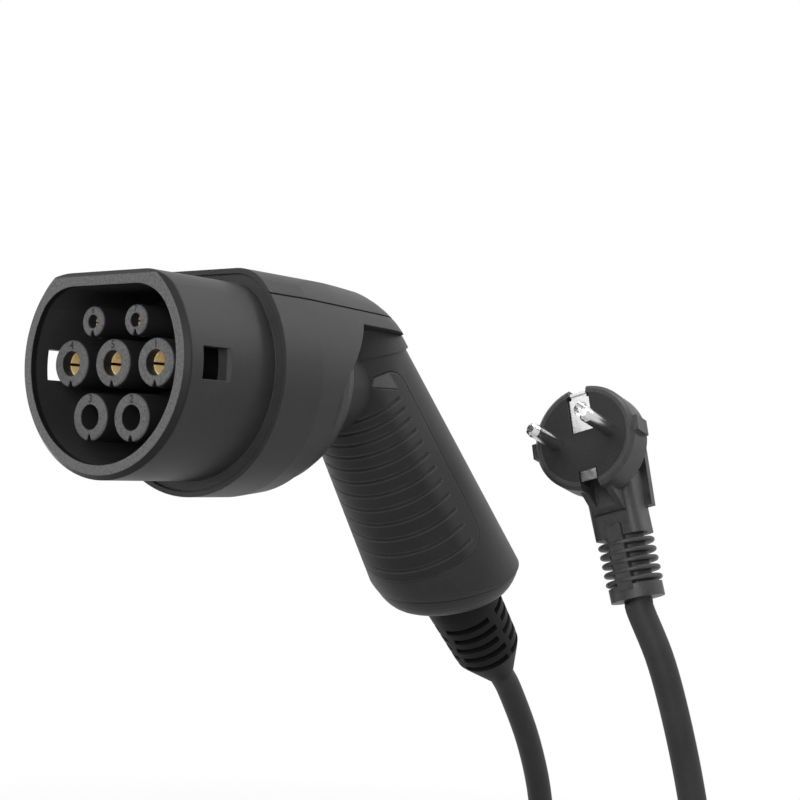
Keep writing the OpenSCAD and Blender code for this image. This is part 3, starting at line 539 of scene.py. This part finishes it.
COIL_R = 52 * MM
COIL_AT = np.array([110, 80]) * MM
COIL_COLUMNS = 3
COIL_LAYERS = 4
STEPS_PER_TURN = 72
STEP_OVER = 1 / 6
HANGING = [
    (193.21, 0, -86.15), (207.8, 0, -101.26), (216.14, 0, -109.89), (231, 0, -131), (243, 1, -155),
    (249, 3, -181), (247, 6, -206), (238, 10, -228), (220, 14, -244), (196, 17.5, -250),
    (166, 18.6, -250.3), (158, 18.6, -250.3), (150, 18.6, -250.3),
]
TAIL = [
    (70, 18.6, -222.1), (62, 18.6, -222.1), (54, 18.6, -222.1), (38, 18.6, -223.5),
    (14, 18.6, -228.5), (-6, 18.6, -234), (-26, 18.6, -240), (-49.4, 12.3, -246),
    (-66.5, -4.8, -249.5), (-72.8, -28.2, -250.3), (-66.5, -51.6, -249.3), (-49.4, -68.7, -245.3),
    (-26, -75, -241), (-20, -75, -241), (-2, -75, -241),
]


def wound_coil():
    """Turns in layers, clockwise from the coil's near side: in along one layer and out along the
    next. Radius and height step over to the next turn in the last sixth of each."""
    turns = COIL_COLUMNS * COIL_LAYERS
    layer = np.arange(turns) // COIL_COLUMNS
    place = np.arange(turns) % COIL_COLUMNS
    column = np.where(layer % 2 == 0, COIL_COLUMNS - 1 - place, place)
    radius = COIL_R + (column - (COIL_COLUMNS - 1) / 2) * CABLE_D
    height = FLOOR_Z + CABLE_D / 2 + layer * CABLE_D
    at = np.arange(turns * STEPS_PER_TURN + 1) / STEPS_PER_TURN
    turn = np.minimum(at.astype(int), turns - 1)
    later = np.minimum(turn + 1, turns - 1)
    share = np.clip((at - turn - (1 - STEP_OVER)) / STEP_OVER, 0, 1)
    share = share * share * (3 - 2 * share)
    r = radius[turn] + share * (radius[later] - radius[turn])
    z = height[turn] + share * (height[later] - height[turn])
    angle = 2 * np.pi * at
    return np.column_stack([COIL_AT[0] - r * np.sin(angle), COIL_AT[1] - r * np.cos(angle), z])


hanging = smooth_route(np.array(HANGING) * MM)
tail = smooth_route(np.array(TAIL) * MM)
connector_path = np.vstack([hanging, wound_coil(), tail])
flat_side = np.cross(np.gradient(connector_path, axis=0), (0, 0, 1))
is_hanging = np.arange(len(connector_path))[:, None] < len(hanging)
connector_side = np.where(is_hanging, ACROSS, flat_side)
connector_lead = swept_tube("connector_lead", connector_path, connector_side, CABLE_D)
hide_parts("connector_cable", "cable_coil", "box_tail")

CLAMPED = [(152.92, 0, -44.43), (193.21, 0, -86.15)]
CLAMPED_POINTS = 9
clamped_path = np.linspace(*np.array(CLAMPED) * MM, CLAMPED_POINTS)
clamped_lead = swept_tube("clamped_lead", clamped_path, ACROSS, CABLE_D)

HANGING_PLUG = [
    (134, -75, -241), (152, -75, -241), (160, -75, -241), (175.4, -75.8, -238.3),
    (191.8, -79.5, -227.8), (202.3, -84.5, -211.4), (205, -87.5, -196), (199, -89.5, -169),
    (189.5, -89.5, -144), (184.5, -87, -121), (179.9, -83.7, -100.5), (176.6, -80, -85),
    (174.08, -74.29, -70.78), (174.3, -73.14, -66.95), (174.9, -69.96, -56.44),
]
plug_path = smooth_route(np.array(HANGING_PLUG) * MM)
plug_lead = swept_tube("plug_lead", plug_path, ACROSS, CABLE_D)
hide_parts("plug_cable")

jacket = grained("cable_jacket", (0.026, 0.026, 0.027), roughness=0.5, grains=1400, depth=0.08 * MM,
                 patches=60)
for lead in (connector_lead, clamped_lead, plug_lead):
    lead.data.materials.append(jacket)
    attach(lead, "root")
strap = grained("strap_weave", (0.012, 0.012, 0.012), roughness=0.8, grains=900, depth=0.3 * MM)
dress(strap, "coil_tie")


# Control box: a two-part moulded case with screws at its corners, a gland for each cable
# and a plain glossy window over the indicator lights.
box_plastic = grained("box_plastic", (0.035, 0.035, 0.036), roughness=0.45, grains=2000,
                      depth=0.12 * MM)
dress(box_plastic, "box_base", "box_lid")
box_gloss = grained("box_gloss", (0.012, 0.012, 0.013), roughness=0.12, grains=900, depth=0.01 * MM)
dress(box_gloss, "box_window")
